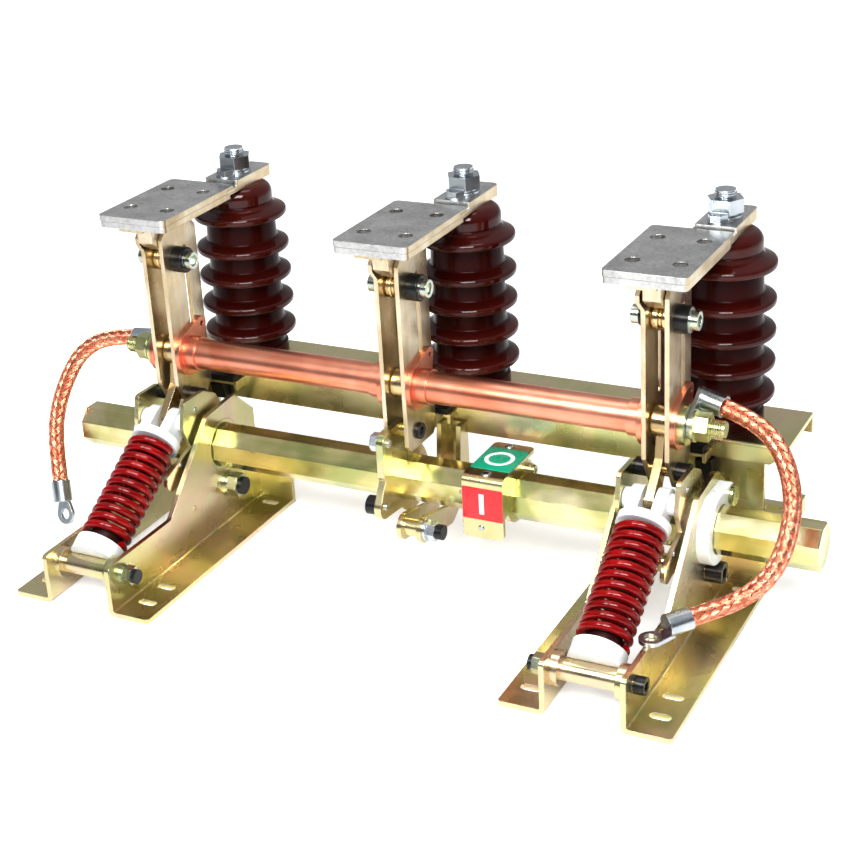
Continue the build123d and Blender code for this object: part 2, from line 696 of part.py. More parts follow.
def spring_head(centre):
    neck = Pos(0, 0, REACH - HEAD_GAP) * extrude(Circle(20), amount=7)
    plug = Pos(0, 0, REACH - HEAD_GAP - 12) * extrude(Circle(12.5), amount=12)
    rod = Pos(0, 0, REACH - 76) * extrude(Circle(6), amount=52)
    body = along(centre, neck + plug + rod)
    for sign in (-1, 1):
        ear = along(centre, Pos(sign * 9.7, 0, REACH - HEAD_GAP + 12) * Box(9.0, 22, 22))
        body += ear
        body += rod_x(KPIN_Y, KPIN_Z, 11, *sorted((centre + sign * 5.2, centre + sign * 14.2)))
        body += rod_x(KPIN_Y, KPIN_Z, 8, *sorted((centre + sign * 14, centre + sign * (CRANK_IN - 0.3))))
    body -= rod_x(KPIN_Y, KPIN_Z, 4.4, centre - 30, centre + 30)
    body -= block(centre - 5.2, centre + 5.2, KPIN_Y - 16, KPIN_Y + 40, KPIN_Z - 8, KPIN_Z + 40)
    return body


def spring_seat(centre):
    cup = along(centre, Pos(0, 0, 7) * extrude(Circle(20), amount=SEAT_GAP - 7))
    plug = along(centre, Pos(0, 0, SEAT_GAP) * extrude(Circle(12.5), amount=12))
    body = cup + plug
    body -= rod_x(BASE_Y, BASE_Z, 8.3, centre - 40, centre + 40)
    return body


def spring_coil(centre):
    length = REACH - HEAD_GAP - SEAT_GAP - 2 * WIRE_R - 0.6
    pitch = length / COIL_TURNS
    path = Helix(pitch=pitch, height=length, radius=COIL_R)
    wire = Plane(origin=path @ 0, z_dir=path % 0) * Circle(WIRE_R)
    coil = sweep(wire, path=path, is_frenet=True)
    return along(centre, Pos(0, 0, SEAT_GAP + WIRE_R + 0.3) * coil)


for name, centre in ENDS.items():
    save(name + "_spring_head", spring_head(centre))
    save(name + "_spring_seat", spring_seat(centre))
    save(name + "_spring", spring_coil(centre))


# position indicator: bent plate clamped on the shaft
IND_X0 = 57.0
IND_X1 = 91.0
IND_T = 3.0
IND_FRONT = SHAFT_Y - 30
IND_TOP = SHAFT_Z + 25
IND_LOW = SHAFT_Z - 26
IND_BACK = SHAFT_Y + 34


def indicator_plate():
    corner = (IND_FRONT, IND_TOP)
    inside = (IND_FRONT + IND_T, IND_TOP - IND_T)
    strip = make_face(Polyline(
        (IND_FRONT, IND_LOW), corner, (IND_BACK, IND_TOP),
        (IND_BACK, inside[1]), inside, (inside[0], IND_LOW),
        close=True,
    ))
    strip = fillet(strip.vertices().sort_by_distance(corner)[0], 6)
    strip = fillet(strip.vertices().sort_by_distance(inside)[0], 3)
    bent = yz_plate(strip, IND_X0, IND_X1)
    low = [e for e in bent.edges().filter_by(Axis.Y) if e.center().Z < IND_LOW + 0.1]
    rear = [e for e in bent.edges().filter_by(Axis.Z) if e.center().Y > IND_BACK - 0.1]
    return fillet(low + rear, 4)


def indicator_ring(x0):
    inner = IND_FRONT + IND_T
    under = IND_TOP - IND_T
    web = make_face(Polyline(
        (inner, SHAFT_Z - 9), (inner, under), (SHAFT_Y + 14, under), (SHAFT_Y + 18, SHAFT_Z), close=True
    ))
    ring = hull_of([(SHAFT_Y, SHAFT_Z, 21.5), (SHAFT_Y + 19, SHAFT_Z + 13, 8)]) + web
    return yz_plate(ring, x0, x0 + 4.5)


indicator = indicator_plate()
for x0 in (IND_X0 + 0.5, IND_X1 - 5):
    indicator += indicator_ring(x0)
indicator += rod_x(SHAFT_Y + 19, SHAFT_Z + 13, 5.5, IND_X0 + 5, IND_X1 + 3.5)
indicator -= yz_plate(SHAFT_HOLE, IND_X0 - 5, IND_X1 + 5)
save("position_indicator", indicator)


# braided leads and their lugs
BRAID_R = 6.7
FERRULE_R = 8.2
FERRULE_L = 18.0
PALM_W = 8.0
EYE_W = 17.0
EYE_HOLE = 9.5
EYE_OUT = 15.0
SHORT_EYE_OUT = 12.0
LEFT_ROUTE = [
    (-PITCH - 55, 67, 153.5),
    (-PITCH - 81.6, 64, 152.5),
    (-PITCH - 106.3, 55.5, 137.5),
    (-PITCH - 117.9, 44, 112.5),
    (-PITCH - 122.9, 32, 85.7),
    (-PITCH - 118.1, 20, 59),
    (-PITCH - 110.9, 11, 34.9),
]
RIGHT_ROUTE = [
    (PITCH + 40, 65, 166),
    (PITCH + 66, 60, 161),
    (PITCH + 90, 44, 147),
    (PITCH + 104, 23, 122.5),
    (PITCH + 104, 5, 95),
    (PITCH + 95, -7, 74),
    (PITCH + 79, -15, 60),
    (PITCH + 62.5, -26, 54),
    (PITCH + 50, -40, 52.6),
]


def unit(v):
    size = math.sqrt(sum(c * c for c in v))
    return tuple(c / size for c in v)


def fillets(points):
    out = []
    for a, b, c in zip(points, points[1:], points[2:]):
        u = Vector(*b) - Vector(*a)
        w = Vector(*c) - Vector(*b)
        half = math.radians(u.get_angle(w)) / 2
        out.append(0.45 * min(u.length, w.length) / math.tan(half))
    return out


def braid(points):
    path = FilletPolyline(*points, radius=fillets(points))
    section = Plane(origin=path @ 0, z_dir=path % 0) * Circle(BRAID_R)
    body = sweep(section, path=path)
    print("braid length", round(path.length, 1), "radii", [round(r, 1) for r in fillets(points)])
    return body


def palm(start, reach):
    """Flat of a cable lug from its neck at `start` to the eye at `reach`, in its own plane."""
    outline = make_hull([
        e
        for x, r in ((start, PALM_W / 2), (reach - 9, PALM_W / 2), (reach, EYE_W / 2))
        for e in (Pos(x, 0) * Circle(r)).edges()
    ])
    return outline - Pos(reach, 0) * Circle(EYE_HOLE / 2)


def end_lug(route, level):
    """Crimped ferrule on the free end, its palm lying flat at the given level."""
    end = route[-1]
    d = unit([e - b for e, b in zip(end, route[-2])])
    ferrule = Plane(origin=end, z_dir=d) * extrude(Circle(FERRULE_R), amount=FERRULE_L)
    tip = [e + FERRULE_L * c for e, c in zip(end, d)]
    size = math.hypot(d[0], d[1])
    run = (d[0] / size, d[1] / size, 0)
    flat = Plane(origin=(tip[0], tip[1], level), x_dir=run, z_dir=(0, 0, 1))
    return ferrule + flat * extrude(palm(-3, SHORT_EYE_OUT), amount=PALM_T)


def hanging_lug(route):
    """The same lug with its palm in line with the ferrule, for the lead that hangs free."""
    end = route[-1]
    d = unit([e - b for e, b in zip(end, route[-2])])
    frame = Plane(origin=end, x_dir=(0, 1, 0), z_dir=d)
    ferrule = frame * extrude(Circle(FERRULE_R), amount=FERRULE_L)
    side = Plane(origin=frame.from_local_coords((0, 0, FERRULE_L - 4)), x_dir=d, z_dir=frame.x_dir)
    return ferrule + side * extrude(palm(-1, EYE_OUT), amount=PALM_T)


def upper_lug(route):
    """Ring palm on the tube stud and a ferrule that leaves along the lead's first run."""
    start = route[0]
    sign = 1 if start[0] > 0 else -1
    face = sign * (PITCH + OUT)
    x0, x1 = sorted((face + sign * (LUG_SEAT + RUN), face + sign * (LUG_SEAT + RUN + PALM_T)))
    back = unit([a - b for a, b in zip(start, route[1])])
    length = abs((start[0] - (face + sign * 11)) / back[0])
    ferrule = Plane(origin=start, z_dir=back) * extrude(Circle(FERRULE_R), amount=length)
    root = [s + length * c for s, c in zip(start, back)]
    ring = hull_of([(TUBE_Y, TUBE_Z, 10), (root[1], root[2], FERRULE_R)])
    ring -= Pos(TUBE_Y, TUBE_Z) * Circle(STUD_R + RUN)
    return yz_plate(ring, x0, x1) + ferrule


save("left_braid", braid(LEFT_ROUTE))
save("right_braid", braid(RIGHT_ROUTE))
save("left_braid_end_lug", hanging_lug(LEFT_ROUTE))
save("right_braid_end_lug", end_lug(RIGHT_ROUTE, NOSE_Z + RUN))
save("left_braid_top_lug", upper_lug(LEFT_ROUTE))
save("right_braid_top_lug", upper_lug(RIGHT_ROUTE))
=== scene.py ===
import bpy
import bmesh
import json
import math
from mathutils import Matrix, Vector


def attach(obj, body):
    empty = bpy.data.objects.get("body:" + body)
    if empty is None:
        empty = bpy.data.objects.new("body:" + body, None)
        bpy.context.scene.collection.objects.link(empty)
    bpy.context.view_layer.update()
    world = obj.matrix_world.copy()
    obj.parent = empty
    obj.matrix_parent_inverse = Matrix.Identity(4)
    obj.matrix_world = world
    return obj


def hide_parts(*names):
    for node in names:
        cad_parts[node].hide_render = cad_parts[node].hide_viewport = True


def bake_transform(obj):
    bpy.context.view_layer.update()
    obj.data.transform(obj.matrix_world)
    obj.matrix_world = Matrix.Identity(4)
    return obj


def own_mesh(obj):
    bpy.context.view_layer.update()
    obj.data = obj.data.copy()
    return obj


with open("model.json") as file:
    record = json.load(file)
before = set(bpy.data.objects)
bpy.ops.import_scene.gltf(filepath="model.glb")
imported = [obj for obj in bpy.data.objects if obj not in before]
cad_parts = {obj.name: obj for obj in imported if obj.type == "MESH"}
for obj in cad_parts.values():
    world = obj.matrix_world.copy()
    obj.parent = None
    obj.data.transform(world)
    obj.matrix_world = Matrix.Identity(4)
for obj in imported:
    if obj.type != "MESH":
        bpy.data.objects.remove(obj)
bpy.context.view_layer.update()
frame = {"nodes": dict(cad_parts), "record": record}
nodes = frame["nodes"]
scene = bpy.context.scene

# camera at the photograph's place
CAMERA_PLACE = (0.592707, -1.035801, 0.676012)
CAMERA_RIGHT = Vector((0.89286, 0.44708, -0.05402))
CAMERA_TOP = Vector((-0.13375, 0.37781, 0.91617))
CAMERA_AHEAD = Vector((-0.43001, 0.81079, -0.39712))
lens = bpy.data.cameras.new("camera")
lens.sensor_width = 36.0
lens.lens = 73.762
lens.shift_y = -0.03
lens.clip_start = 0.05
lens.clip_end = 60.0
camera = bpy.data.objects.new("camera", lens)
scene.collection.objects.link(camera)
scene.camera = camera
turned = Matrix((CAMERA_RIGHT, CAMERA_TOP, -CAMERA_AHEAD)).transposed().to_4x4()
camera.matrix_world = Matrix.Translation(CAMERA_PLACE) @ turned

# distance between the phases' blade lines
PHASE = 0.210


# earth leads: copper wire woven over a core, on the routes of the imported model
LEFT_ROUTE = [
    (-0.265, 0.067, 0.1535),
    (-0.2916, 0.064, 0.1525),
    (-0.3163, 0.0555, 0.1375),
    (-0.3279, 0.044, 0.1125),
    (-0.3329, 0.032, 0.0857),
    (-0.3281, 0.020, 0.059),
    (-0.3209, 0.011, 0.0349),
]
RIGHT_ROUTE = [
    (0.250, 0.065, 0.166),
    (0.276, 0.060, 0.161),
    (0.300, 0.044, 0.147),
    (0.314, 0.023, 0.1225),
    (0.314, 0.005, 0.095),
    (0.305, -0.007, 0.074),
    (0.289, -0.015, 0.060),
    (0.2725, -0.026, 0.054),
    (0.260, -0.040, 0.0526),
]

# the weave: strands of each hand, wires in a strand and the angle between them, and how high they wave
CARRIERS = 8
WIRES = 4
WIRE_TURN = 0.165
TURN_LENGTH = 0.066
WEAVE_R = 0.0058
WIRE_R = 0.00045
WAVE_HEIGHT = 1.6
CORE_R = 0.0052


def smooth_line(name, points, steps):
    """Points along the smooth curve that a route's points control."""
    data = bpy.data.curves.new(name, "CURVE")
    data.dimensions = "3D"
    spline = data.splines.new("NURBS")
    spline.points.add(len(points) - 1)
    for knot, place in zip(spline.points, points):
        knot.co = (*place, 1.0)
    spline.use_endpoint_u = True
    spline.order_u = 3
    spline.resolution_u = steps
    data.resolution_u = steps
    guide = bpy.data.objects.new(name, data)
    scene.collection.objects.link(guide)
    bpy.context.view_layer.update()
    mesh = bpy.data.meshes.new_from_object(guide)
    line = [v.co.copy() for v in mesh.vertices]
    bpy.data.objects.remove(guide)
    bpy.data.meshes.remove(mesh)
    bpy.data.curves.remove(data)
    return line


def stations(line):
    """Place, two crosswise directions and distance run, all along a line."""
    out = []
    across = None
    run = 0.0
    for i, place in enumerate(line):
        onward = (line[min(i + 1, len(line) - 1)] - line[max(i - 1, 0)]).normalized()
        if across is None:
            across = onward.orthogonal()
        across = (across - onward * across.dot(onward)).normalized()
        if i:
            run += (place - line[i - 1]).length
        out.append((place, across, onward.cross(across), run))
    return out


def wire_mesh(name, tracks, radius):
    """One mesh of round wires, each along its own track of points."""
    data = bpy.data.curves.new(name, "CURVE")
    data.dimensions = "3D"
    data.bevel_depth = radius
    data.bevel_resolution = 1 if len(tracks) > 1 else 4
    data.use_fill_caps = True
    for track in tracks:
        spline = data.splines.new("POLY")
        spline.points.add(len(track) - 1)
        for knot, place in zip(spline.points, track):
            knot.co = (*place, 1.0)
    wires = bpy.data.objects.new(name, data)
    scene.collection.objects.link(wires)
    bpy.context.view_layer.update()
    mesh = bpy.data.meshes.new_from_object(wires)
    bpy.data.objects.remove(wires)
    bpy.data.curves.remove(data)
    return mesh


def weave_tracks(line):
    """Strands of parallel wires, each passing over two and under two strands of the other hand."""
    tracks = []
    stops = stations(line)
    for hand in (1, -1):
        for carrier in range(CARRIERS):
            for wire in range(WIRES):
                aside = (wire - (WIRES - 1) / 2) * WIRE_TURN
                track = []
                for place, across, lift, run in stops:
                    crossings = 2 * CARRIERS * run / TURN_LENGTH
                    beat = 2 * carrier + hand * crossings + CARRIERS * aside / (2 * math.pi)
                    wave = WAVE_HEIGHT * math.cos(math.pi * (beat - 0.5) / 2)
                    reach = WEAVE_R + hand * WIRE_R * max(-1.0, min(1.0, wave))
                    angle = 2 * math.pi * (carrier / CARRIERS + hand * run / TURN_LENGTH) + aside
                    track.append(place + (across * math.cos(angle) + lift * math.sin(angle)) * reach)
                tracks.append(track)
    return tracks


def woven_lead(name, node, route, steps):
    """An earth lead along its route, from its upper end at the blades down to its free end hanging."""
    line = smooth_line(name + "_line", route, steps)
    bm = bmesh.new()
    bm.from_mesh(wire_mesh(name + "_wires", weave_tracks(line), WIRE_R))
    wires = len(bm.faces)
    bm.from_mesh(wire_mesh(name + "_core", [line], CORE_R))
    bmesh.ops.remove_doubles(bm, verts=bm.verts, dist=1e-7)
    bmesh.ops.recalc_face_normals(bm, faces=bm.faces)
    bm.faces.ensure_lookup_table()
    for i, face in enumerate(bm.faces):
        face.smooth = True
        face.material_index = 0 if i < wires else 1
    lead = finished(bm, name)
    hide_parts(node)
    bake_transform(lead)
    return lead


def finished(bm, name):
    """The bmesh as an object at the origin."""
    mesh = bpy.data.meshes.new(name)
    bm.to_mesh(mesh)
    bm.free()
    piece = bpy.data.objects.new(name, mesh)
    scene.collection.objects.link(piece)
    return piece


left_lead = woven_lead(
    "left_earth_lead", "left_braid", LEFT_ROUTE, 26,
)
right_lead = woven_lead(
    "right_earth_lead", "right_braid", RIGHT_ROUTE, 24,
)


# small pieces
def facing(place, axis):
    """Places a shape drawn up the Z axis so that it stands on place and points along axis."""
    return Matrix.Translation(place) @ Vector(axis).to_track_quat("Z", "Y").to_matrix().to_4x4()


def turned_piece(bm, outline, stand, count=32):
    """A shape spun round Z from its outline of (radius, height) points."""
    made = [bm.verts.new((r, 0, h)) for r, h in outline]
    edges = [bm.edges.new(pair) for pair in zip(made, made[1:])]
    bmesh.ops.spin(
        bm, geom=made + edges, cent=(0, 0, 0), axis=(0, 0, 1), angle=2 * math.pi, steps=count, use_merge=True,
    )
    bmesh.ops.remove_doubles(bm, verts=bm.verts, dist=1e-6)
    bmesh.ops.recalc_face_normals(bm, faces=bm.faces)
    bmesh.ops.transform(bm, matrix=stand, verts=bm.verts)


def shaded(bm, degrees=35):
    """Smooth faces with sharp edges kept where the surface turns."""
    for face in bm.faces:
        face.smooth = True
    for edge in bm.edges:
        if len(edge.link_faces) == 2 and edge.calc_face_angle(0) > math.radians(degrees):
            edge.smooth = False


def fitted(bm, name, body, material):
    """The bmesh as a piece with its finish that rides on a body."""
    piece = finished(bm, name)
    piece.data.materials.append(material)
    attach(piece, body)
    return piece


def turned_fitting(name, body, outline, place, axis, material, count=32):
    """A small turned piece that stands on a surface."""
    bm = bmesh.new()
    turned_piece(bm, outline, facing(place, axis), count)
    shaded(bm)
    return fitted(bm, name, body, material)


def rivet(name, body, place, axis, radius, height, material):
    """Domed head with a small flat rim, sunk a little into what it holds."""
    sunk = -0.0002
    rim = 0.25
    arc = [(radius * math.cos(a), height * (rim + (1 - rim) * math.sin(a))) for a in (0.0, 0.4, 0.8, 1.2)]
    outline = [(0, sunk), (radius, sunk)] + arc + [(0, height)]
    return turned_fitting(name, body, outline, place, axis, material, 24)


def socket_head(name, body, place, axis, radius, height, material, socket=0.5):
    """Cap screw head with a chamfered rim and a hexagon socket, a share of the head across."""
    bm = bmesh.new()
    rim = 0.12 * radius
    outline = [(0, 0), (radius, 0), (radius, height - rim), (radius - rim, height), (0, height)]
    turned_piece(bm, outline, Matrix.Identity(4), 30)
    caps = [f for f in bm.faces if f.normal.z > 0.99 and f.calc_center_median().z > height - 1e-6]
    bmesh.ops.dissolve_faces(bm, faces=caps)
    top = max(bm.faces, key=lambda f: f.calc_center_median().z)
    inset = bmesh.ops.inset_region(bm, faces=[top], thickness=(radius - rim) * (1 - socket), depth=0)
    ring = {v for f in inset["faces"] for v in f.verts} & set(top.verts)
    for vert in ring:
        angle = math.atan2(vert.co.y, vert.co.x) % (math.pi / 3) - math.pi / 6
        reach = radius * socket * math.cos(math.pi / 6) / math.cos(angle)
        size = math.hypot(vert.co.x, vert.co.y)
        vert.co.x *= reach / size
        vert.co.y *= reach / size
    sunk = bmesh.ops.extrude_discrete_faces(bm, faces=[top])
    bmesh.ops.translate(bm, verts=sunk["faces"][0].verts, vec=(0, 0, -0.55 * height))
    bmesh.ops.transform(bm, matrix=facing(place, axis), verts=bm.verts)
    bmesh.ops.recalc_face_normals(bm, faces=bm.faces)
    shaded(bm)
    return fitted(bm, name, body, material)


def screw_thread(name, body, place, axis, radius, length, pitch, material):
    """Raised ridge winding along a stud."""
    bm = bmesh.new()
    half = 0.42 * pitch
    root = radius - 0.00015
    ridge = ((root, -half), (radius + half, 0), (root, half))
    corners = [bm.verts.new((r, 0, h + 0.5 * pitch)) for r, h in ridge]
    face = bm.faces.new(corners)
    rise = length - pitch
    turns = rise / pitch
    steps = int(28 * turns)
    bmesh.ops.spin(
        bm, geom=[face] + face.edges[:] + corners, cent=(0, 0, 0), axis=(0, 0, 1), angle=2 * math.pi * turns,
        dvec=(0, 0, rise / steps), steps=steps,
    )
    bmesh.ops.transform(bm, matrix=facing(place, axis), verts=bm.verts)
    bmesh.ops.recalc_face_normals(bm, faces=bm.faces)
    shaded(bm, 50)
    return fitted(bm, name, body, material)


def rounded_plate(name, body, low, high, thin, corner, material):
    """Thin plate between two corners, its outline rounded, thin along one axis."""
    bm = bmesh.new()
    bmesh.ops.create_cube(bm, size=1.0)
    size = Vector(high) - Vector(low)
    bmesh.ops.scale(bm, vec=size, verts=bm.verts)
    bmesh.ops.translate(bm, vec=(Vector(low) + Vector(high)) / 2, verts=bm.verts)
    through = [e for e in bm.edges if abs((e.verts[0].co - e.verts[1].co).normalized()[thin]) > 0.99]
    bmesh.ops.bevel(bm, geom=through, offset=corner, segments=6, profile=0.5, affect="EDGES", material=-1)
    rims = [e for e in bm.edges if len(e.link_faces) == 2 and e.calc_face_angle(0) > 1.0]
    bmesh.ops.bevel(
        bm, geom=rims, offset=0.25 * size[thin], segments=2, profile=0.5, affect="EDGES", material=-1,
    )
    shaded(bm)
    return fitted(bm, name, body, material)


# springs: the base pin, the line from it to the crank pin, and the coil along that line
BASE_PIN = (0, -0.097, 0.029)
COIL_WAY = Vector((0, 0.121, 0.0745)).normalized()
COIL_TILT = math.atan2(COIL_WAY.z, COIL_WAY.y)
COIL_SEAT = 0.020
COIL_START = 0.0035
COIL_R = 0.0168
COIL_WIRE_R = 0.0032
COIL_TURNS = 11
COIL_RISE = 0.0901


def coiled_spring(name, body, node, x, material):
    """Round wire coiled from the seat up to the head."""
    bm = bmesh.new()
    section = bmesh.ops.create_circle(
        bm, cap_ends=True, segments=18, radius=COIL_WIRE_R,
        matrix=Matrix.Translation((COIL_R, 0, 0)) @ Matrix.Rotation(math.radians(90), 4, "X"),
    )["verts"]
    steps = 44 * COIL_TURNS
    bmesh.ops.spin(
        bm, geom=section + bm.edges[:] + bm.faces[:], cent=(0, 0, 0), axis=(0, 0, 1),
        angle=2 * math.pi * COIL_TURNS, dvec=(0, 0, COIL_RISE / steps), steps=steps,
    )
    seat = Vector(BASE_PIN) + Vector((x, 0, 0)) + COIL_WAY * COIL_SEAT
    leaning = Matrix.Rotation(COIL_TILT - math.pi / 2, 4, "X")
    stand = Matrix.Translation(seat + COIL_WAY * COIL_START) @ leaning
    bmesh.ops.transform(bm, matrix=stand, verts=bm.verts)
    bmesh.ops.recalc_face_normals(bm, faces=bm.faces)
    shaded(bm, 50)
    piece = fitted(bm, name, body, material)
    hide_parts(node)
    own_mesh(piece)
    return piece


# shared effects
def effect(name, takes, gives, lay_out):
    """A node group with named values in and out, laid out by a function."""
    tree = bpy.data.node_groups.new(name, "ShaderNodeTree")
    for label, kind, value in takes:
        sock = tree.interface.new_socket(label, in_out="INPUT", socket_type=kind)
        if value is not None:
            sock.default_value = value
    for label, kind in gives:
        tree.interface.new_socket(label, in_out="OUTPUT", socket_type=kind)
    lay_out(Layout(tree), tree.nodes.new("NodeGroupInput"), tree.nodes.new("NodeGroupOutput"))
    return tree


class Layout:
    """Short ways to add and join the nodes of one tree."""

    def __init__(self, tree):
        self.tree = tree

    def add(self, kind):
        return self.tree.nodes.new(kind)

    def feed(self, value, socket):
        if hasattr(value, "links"):
            self.tree.links.new(value, socket)
        elif isinstance(value, tuple) and socket.type == "RGBA":
            socket.default_value = (*value, 1.0)
        else:
            socket.default_value = value

    def noise(self, vector, scale, detail=4.0, roughness=0.55, distortion=0.0):
        node = self.add("ShaderNodeTexNoise")
        self.feed(vector, node.inputs["Vector"])
        self.feed(scale, node.inputs["Scale"])
        self.feed(detail, node.inputs["Detail"])
        self.feed(roughness, node.inputs["Roughness"])
        self.feed(distortion, node.inputs["Distortion"])
        return node.outputs["Fac"]

    def math(self, operation, *values):
        node = self.add("ShaderNodeMath")
        node.operation = operation
        for value, socket in zip(values, node.inputs):
            self.feed(value, socket)
        return node.outputs["Value"]

    def stretch(self, vector, scale):
        node = self.add("ShaderNodeMapping")
        self.feed(vector, node.inputs["Vector"])
        self.feed(scale, node.inputs["Scale"])
        return node.outputs["Vector"]

    def span(self, value, low, high, out_low, out_high):
        node = self.add("ShaderNodeMapRange")
        for label, number in (("Value", value), ("From Min", low), ("From Max", high),
                ("To Min", out_low), ("To Max", out_high)):
            self.feed(number, node.inputs[label])
        return node.outputs["Result"]

    def ramp(self, value, stops):
        node = self.add("ShaderNodeValToRGB")
        self.feed(value, node.inputs["Fac"])
        while len(node.color_ramp.elements) < len(stops):
            node.color_ramp.elements.new(0.5)
        for element, (position, colour) in zip(node.color_ramp.elements, stops):
            element.position = position
            element.color = (*colour, 1.0)
        return node.outputs["Color"]

    def blend(self, share, first, second):
        node = self.add("ShaderNodeMix")
        node.data_type = "RGBA"
        self.feed(share, node.inputs["Factor"])
        self.feed(first, node.inputs["A"])
        self.feed(second, node.inputs["B"])
        return node.outputs["Result"]

    def between(self, value, low, high):
        """One where the value lies between two numbers, nought elsewhere."""
        return self.math("COMPARE", value, (low + high) / 2, (high - low) / 2)

    def beyond(self, value, edge):
        return self.math("GREATER_THAN", value, edge)

    def short_of(self, value, edge):
        return self.math("LESS_THAN", value, edge)

    def both(self, first, second):
        return self.math("MULTIPLY", first, second)

    def either(self, first, second):
        return self.math("MAXIMUM", first, second)


def cloud_layout(on, given, out):
    """Slow clouds and long streaks mixed to one value."""
    clouds = on.noise(given.outputs["Vector"], given.outputs["Cloud Scale"], 3.0, 0.5, 0.7)
    streaks = on.noise(given.outputs["Streak Vector"], 1.0, 4.0)
    share = given.outputs["Streak Share"]
    kept = on.math("MULTIPLY", clouds, on.math("SUBTRACT", 1.0, share))
    on.feed(on.math("ADD", kept, on.math("MULTIPLY", streaks, share)), out.inputs["Tone"])


def edge_layout(on, given, out):
    """One along outside edges, nought on the flats."""
    soft = on.add("ShaderNodeBevel")
    soft.samples = 4
    on.feed(given.outputs["Width"], soft.inputs["Radius"])
    plain = on.add("ShaderNodeNewGeometry")
    facing_both = on.add("ShaderNodeVectorMath")
    facing_both.operation = "DOT_PRODUCT"
    on.feed(soft.outputs["Normal"], facing_both.inputs[0])
    on.feed(plain.outputs["Normal"], facing_both.inputs[1])
    on.feed(on.span(facing_both.outputs["Value"], 0.998, 0.93, 0.0, 1.0), out.inputs["Edge"])
    on.feed(soft.outputs["Normal"], out.inputs["Normal"])


def scuff_layout(on, given, out):
    """Fine grain with crossing hairline scratches, as a height."""
    grain = on.noise(given.outputs["Vector"], 500.0, 2.0)
    first = on.noise(on.stretch(given.outputs["Vector"], (40.0, 900.0, 500.0)), 1.0, 3.0, 0.7)
    second = on.noise(on.stretch(given.outputs["Vector"], (800.0, 700.0, 30.0)), 1.0, 3.0, 0.7)
    lines = on.math("ADD", on.math("POWER", first, 6.0), on.math("POWER", second, 6.0))
    height = on.math("ADD", on.math("MULTIPLY", grain, 0.35), on.math("MULTIPLY", lines, 6.0))
    on.feed(height, out.inputs["Height"])


VECTOR = "NodeSocketVector"
NUMBER = "NodeSocketFloat"
cloudy_tone = effect(
    "cloudy_tone",
    [
        ("Vector", VECTOR, None), ("Streak Vector", VECTOR, None),
        ("Cloud Scale", NUMBER, 14.0), ("Streak Share", NUMBER, 0.3),
    ],
    [("Tone", NUMBER)], cloud_layout,
)
soft_edges = effect(
    "soft_edges", [("Width", NUMBER, 0.0006)], [("Edge", NUMBER), ("Normal", VECTOR)], edge_layout,
)
hairline_scuffs = effect("hairline_scuffs", [("Vector", VECTOR, None)], [("Height", NUMBER)], scuff_layout)


class Finish(Layout):
    """One material: its nodes, its shader, and the object's own coordinates."""

    def __init__(self, name):
        self.material = bpy.data.materials.new(name)
        self.material.use_nodes = True
        super().__init__(self.material.node_tree)
        self.shader = self.tree.nodes["Principled BSDF"]
        self.place = self.add("ShaderNodeTexCoord").outputs["Object"]
        parts = self.add("ShaderNodeSeparateXYZ")
        self.feed(self.place, parts.inputs["Vector"])
        self.x, self.y, self.z = parts.outputs

    def use(self, group, **values):
        node = self.add("ShaderNodeGroup")
        node.node_tree = group
        for label, value in values.items():
            self.feed(value, node.inputs[label.replace("_", " ")])
        return node.outputs

    def clouded(self, clouds, streaks, share):
        """The cloudy tone, from the scale of its clouds, the stretch of its streaks and their share."""
        return self.use(
            cloudy_tone, Vector=self.place, Streak_Vector=self.stretch(self.place, streaks),
            Cloud_Scale=clouds, Streak_Share=share,
        )["Tone"]

    def bump(self, height, strength, distance, normal):
        node = self.add("ShaderNodeBump")
        node.inputs["Strength"].default_value = strength
        node.inputs["Distance"].default_value = distance
        self.feed(height, node.inputs["Height"])
        self.feed(normal, node.inputs["Normal"])
        return node.outputs["Normal"]

    def give(self, **values):
        for label, value in values.items():
            self.feed(value, self.shader.inputs[label.replace("_", " ")])
        return self.material


def plated_metal(
    name, stops, edge_wear_and_highlight, rough, clouds=14.0, streaks=(50.0, 7.0, 12.0), width=0.0006, mask=None,
):
    """Plated or bright metal; mask, if given, lays black rubber, copper or zinc on parts of it."""
    f = Finish(name)
    tone = f.clouded(clouds, streaks, 0.3)
    edges = f.use(soft_edges, Width=width)
    # lighter colour along outside edges: partly worn plating, partly painted highlight
    colour = f.blend(f.math("MULTIPLY", edges["Edge"], 0.6), f.ramp(tone, stops), edge_wear_and_highlight)
    roughness = f.span(f.noise(f.place, 30.0, 2.0), 0.3, 0.7, *rough)
    metal = 1.0
    if mask:
        colour, roughness, metal = mask(f, colour, roughness)
    scuffs = f.use(hairline_scuffs, Vector=f.place)["Height"]
    return f.give(
        Base_Color=colour, Metallic=metal, Roughness=roughness,
        Normal=f.bump(scuffs, 0.04, 0.0003, edges["Normal"]),
    )


# tones along each metal's cloudy value, plain colours, and lighter colours along edges, partly wear and
# partly painted highlight
OLIVE_GOLD = [
    (0.34, (0.52, 0.55, 0.29)), (0.44, (0.65, 0.60, 0.33)), (0.52, (0.70, 0.62, 0.38)),
    (0.60, (0.71, 0.56, 0.40)), (0.68, (0.60, 0.61, 0.38)),
]
SHAFT_GOLD = [(0.40, (0.44, 0.46, 0.19)), (0.50, (0.64, 0.59, 0.28)), (0.60, (0.80, 0.73, 0.45))]
BRIGHT_ZINC = [(0.35, (0.44, 0.49, 0.52)), (0.65, (0.66, 0.70, 0.73))]
GREEN_ZINC = [(0.35, (0.50, 0.53, 0.26)), (0.65, (0.70, 0.67, 0.38))]
COPPER_TONES = [(0.36, (0.72, 0.25, 0.15)), (0.50, (0.84, 0.36, 0.24)), (0.64, (0.89, 0.46, 0.33))]
BLADE_TONES = [(0.36, (0.58, 0.47, 0.30)), (0.50, (0.71, 0.60, 0.42)), (0.64, (0.80, 0.73, 0.58))]
